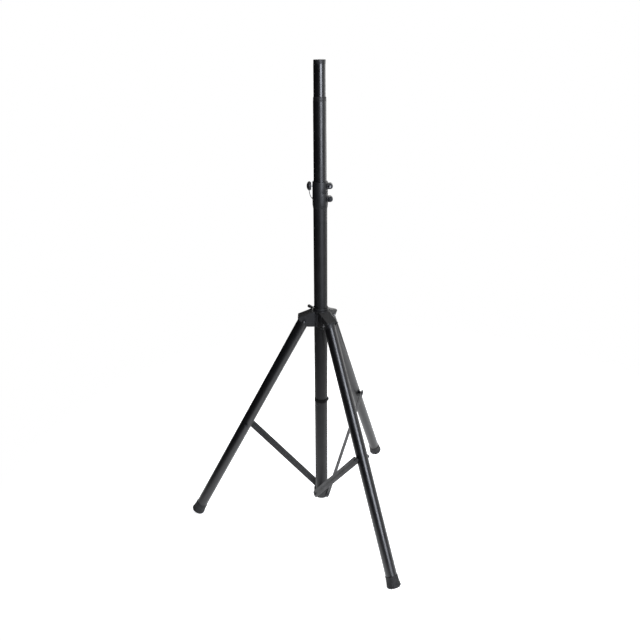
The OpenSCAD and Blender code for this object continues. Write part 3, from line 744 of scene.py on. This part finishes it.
def lanyard():
    """The cord from the pin's head to its anchor; its upper end is placed at the pin's head as it stands."""
    head_low, head_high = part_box("lock_pin_head")
    anchor = middle("lanyard_anchor")
    anchor_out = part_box("lanyard_anchor")[0].x
    start = Vector((anchor_out - 0.6 * MM, 0, anchor.z))
    end = Vector((head_low.x * 0.45 + head_high.x * 0.55, 0, head_low.z + 1.0 * MM))
    sag = Vector((-1.2 * MM, -1.6 * MM, -1.0 * MM))
    bm = bmesh.new()
    steps, count, radius = 40, 14, 0.95 * MM
    points = [start.lerp(end, i / steps) + sag * 4 * (i / steps) * (1 - i / steps)
              for i in range(steps + 1)]
    rings = []
    for i, point in enumerate(points):
        ahead = points[min(i + 1, steps)] - points[max(i - 1, 0)]
        side = axis_frame(point, ahead, Vector((0, 1, 0)))
        bulge = radius * (1 + 0.07 * math.cos(2 * math.pi * i / 3))
        rings.append([side @ Vector(p) for p in circle_points(bulge, 0, count, 5, 0.08 * MM)])
    add_rings(bm, rings)
    cord = piece_from(bm, "pin_lanyard_looks", "cord", None, "pin_lanyard", smooth_deg=60)
    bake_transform(cord)


# ---------------------------------------------------------------- weld beads


def weld_beads():
    """Fillet welds between each hood's cheeks and the hub's sleeve, up to the roof's bends."""
    hub_low, hub_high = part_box("hub")
    sleeve_r, doubler, bead_r, ripple = 26 * MM, 0.8 * MM, 1.35 * MM, 0.22 * MM
    start, length, steps = hub_low.z + 3 * MM, hub_high.z - hub_low.z - 12 * MM, 60
    bm = bmesh.new()
    for k in LEGS:
        pivot, side = joint_place(f"leg_{k}_fold")
        outward = side.cross(Vector((0, 0, 1)))
        half = hood_half_width(k) + doubler
        reach = math.sqrt(sleeve_r ** 2 - half ** 2)
        for sign in (-1, 1):
            base = outward * reach + side * sign * half
            rings = []
            for i in range(steps + 1):
                r = bead_r + ripple * math.cos(i * math.pi / 1.5)
                rings.append(circle_points(r, start + length * i / steps, 12))
            add_rings(bm, rings, Matrix.Translation(base))
    piece_from(bm, "hub_welds", "hub_paint", "hub_body", smooth_deg=60)


# ---------------------------------------------------------------- stage, light and camera


def floor_material():
    """A white disc that ends softly, so that the stand's upper half reflects no floor."""
    s = Shader("floor")
    colour = s.mix(s.noise(0.4, 3), (0.93, 0.93, 0.93), (0.95, 0.95, 0.95))
    s.finish(colour, 0.9, Specular_IOR_Level=0.1)
    s.body.inputs["Emission Color"].default_value = (1, 1, 1, 1)
    s.body.inputs["Emission Strength"].default_value = FLOOR_GLOW
    nodes, links = s.tree.nodes, s.tree.links
    clear = nodes.new("ShaderNodeBsdfTransparent")
    faded = nodes.new("ShaderNodeMixShader")
    reach = nodes.new("ShaderNodeVectorMath")
    reach.operation = "DISTANCE"
    reach.inputs[1].default_value = DISC_MIDDLE
    links.new(s.coords, reach.inputs[0])
    links.new(s.ramp(reach.outputs["Value"], *DISC_FADE), faded.inputs[0])
    links.new(s.body.outputs[0], faded.inputs[1])
    links.new(clear.outputs[0], faded.inputs[2])
    links.new(faded.outputs[0], nodes["Material Output"].inputs["Surface"])
    return s.material


def white_backdrop():
    """A pale floor, and a pale surround that lights the stand less than it looks."""
    bpy.ops.mesh.primitive_plane_add(size=40)
    floor = bpy.context.object
    floor.name = "floor"
    floor.data.materials.append(floor_material())
    world = bpy.data.worlds.new("surround")
    bpy.context.scene.world = world
    world.use_nodes = True
    tree = world.node_tree
    tree.nodes.clear()
    out = tree.nodes.new("ShaderNodeOutputWorld")
    seen, felt = (tree.nodes.new("ShaderNodeBackground") for _ in range(2))
    seen.inputs["Color"].default_value = (1, 1, 1, 1)
    felt.inputs["Color"].default_value = (1, 1, 1, 1)
    felt.inputs["Strength"].default_value = SURROUND
    path = tree.nodes.new("ShaderNodeLightPath")
    mix = tree.nodes.new("ShaderNodeMixShader")
    tree.links.new(path.outputs["Is Camera Ray"], mix.inputs["Fac"])
    tree.links.new(felt.outputs[0], mix.inputs[1])
    tree.links.new(seen.outputs[0], mix.inputs[2])
    tree.links.new(mix.outputs[0], out.inputs["Surface"])


def softbox(name, azimuth, distance, height, size, watts, aim_height, tint=(1, 1, 1)):
    """A tall area light; azimuth is measured from the camera's side towards +X."""
    a = math.radians(azimuth)
    place = Vector((distance * math.sin(a), -distance * math.cos(a), height))
    data = bpy.data.lights.new(name, "AREA")
    data.shape = "RECTANGLE"
    data.size, data.size_y = size
    data.energy = watts
    data.color = tint
    light = bpy.data.objects.new(name, data)
    light.visible_camera = False
    light.location = place
    light.rotation_mode = "QUATERNION"
    light.rotation_quaternion = (place - Vector((0, 0, aim_height))).to_track_quat("Z", "Y")
    bpy.context.scene.collection.objects.link(light)


def camera():
    """The camera stands in front of the stand, above its middle, and looks down."""
    down, roll = math.radians(CAMERA_DOWN), math.radians(CAMERA_ROLL)
    ahead = Vector((0, math.cos(down), -math.sin(down)))
    right = Vector((1, 0, 0))
    up = right.cross(ahead)
    rolled_right = right * math.cos(roll) + up * math.sin(roll)
    rolled_up = up * math.cos(roll) - right * math.sin(roll)
    data = bpy.data.cameras.new("camera")
    data.lens = CAMERA_LENS
    data.sensor_width = 36
    obj = bpy.data.objects.new("camera", data)
    turn = Matrix((rolled_right, rolled_up, -ahead)).transposed()
    obj.matrix_world = Matrix.Translation(CAMERA_PLACE) @ turn.to_4x4()
    bpy.context.scene.collection.objects.link(obj)
    bpy.context.scene.camera = obj


# ---------------------------------------------------------------- the whole scene


dress_nodes()
for rounded, width in (("collar", 0.5), ("hub", 0.45), ("hub_liner", 0.4), ("ferrule", 0.3),
                       ("top_cap", 0.4), ("stop_band", 0.25)):
    round_edges(rounded, width * MM)
for leg in LEGS:
    round_edges(f"strut_{leg}", 0.45 * MM)
    round_edges(f"leg_{leg}_spacer", 0.4 * MM)
    foot(leg)
pivot_fasteners()
strut_fasteners()
collar_fasteners()
stop_screw()
lower_bracket()
t_knob("clamp_knob", "clamp_handle", "clamp_knob_turn", 0, "black_plastic")
t_knob("hub_knob", "hub_handle", "hub_knob_turn", -56, "black_plastic")
lock_pin_head()
lanyard()
weld_beads()

white_backdrop()
softbox("key", 26, 3.0, 1.6, (1.2, 2.0), 135, 0.8, COOL_WHITE)
softbox("right", 84, 3.0, 1.3, (1.8, 2.6), 16, 0.7)
softbox("back_right", 122, 2.6, 0.9, (1.6, 1.6), 26, 0.7)
softbox("back", 162, 2.6, 1.5, (2.2, 1.2), 30, 0.75)
softbox("top", 10, 0.6, 4.2, (3.5, 3.5), 90, 0.0)
camera()
bpy.context.scene.view_settings.view_transform = "Standard"
